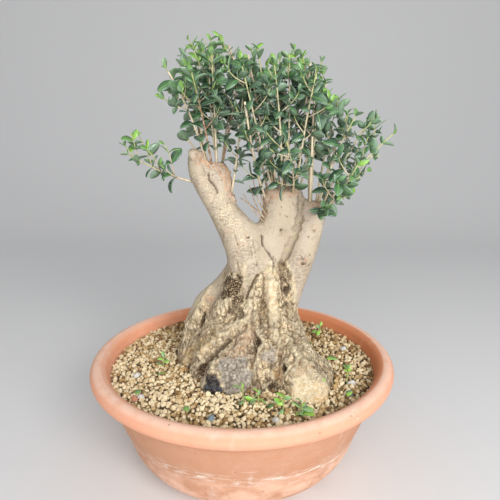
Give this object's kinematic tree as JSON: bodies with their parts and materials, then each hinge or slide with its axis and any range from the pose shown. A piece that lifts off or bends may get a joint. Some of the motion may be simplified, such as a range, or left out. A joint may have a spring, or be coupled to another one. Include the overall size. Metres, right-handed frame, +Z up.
{
  "type": "potted pre-bonsai tree",
  "caption": "Pre-bonsai tree: a thick cut-back trunk with young leafy shoots, rooted in grit in a round terracotta bowl with a rolled rim.",
  "frame": {"origin": "middle of the bowl's flat underside", "axes": "+Z up along the bowl's axis, -Y towards the viewer of the tree's front, +X to that viewer's right"},
  "size_m": [0.3796, 0.3796, 0.5256],
  "materials": {
    "terracotta": "matt fired clay with pale bloom",
    "pumice": "rough yellowish-brown pumice and clay grit",
    "bark": "pale smooth bark above, rough and fissured below",
    "leaf": "glossy dark green leaves on tan woody stems",
    "young_leaf": "soft bright green seedling leaves"
  },
  "bodies": {
    "root": {"bowl": "terracotta", "seedling_1": "young_leaf", "seedling_2": "young_leaf", "seedling_3": "young_leaf", "seedling_4": "young_leaf", "seedling_5": "young_leaf", "seedling_6": "young_leaf", "seedling_7": "young_leaf", "shoot_01": "leaf", "shoot_02": "leaf", "shoot_03": "leaf", "shoot_04": "leaf", "shoot_05": "leaf", "shoot_06": "leaf", "shoot_07": "leaf", "shoot_08": "leaf", "shoot_09": "leaf", "shoot_10": "leaf", "shoot_11": "leaf", "shoot_12": "leaf", "shoot_13": "leaf", "shoot_14": "leaf", "shoot_15": "leaf", "shoot_16": "leaf", "shoot_17": "leaf", "shoot_18": "leaf", "shoot_19": "leaf", "shoot_20": "leaf", "shoot_21": "leaf", "shoot_22": "leaf", "shoot_23": "leaf", "shoot_24": "leaf", "shoot_25": "leaf", "shoot_26": "leaf", "shoot_27": "leaf", "shoot_28": "leaf", "shoot_29": "leaf", "shoot_30": "leaf", "shoot_31": "leaf", "shoot_32": "leaf", "shoot_33": "leaf", "shoot_34": "leaf", "shoot_35": "leaf", "shoot_36": "leaf", "shoot_37": "leaf", "shoot_38": "leaf", "shoot_39": "leaf", "soil": "pumice", "trunk": "bark"}
  },
  "joints": []
}
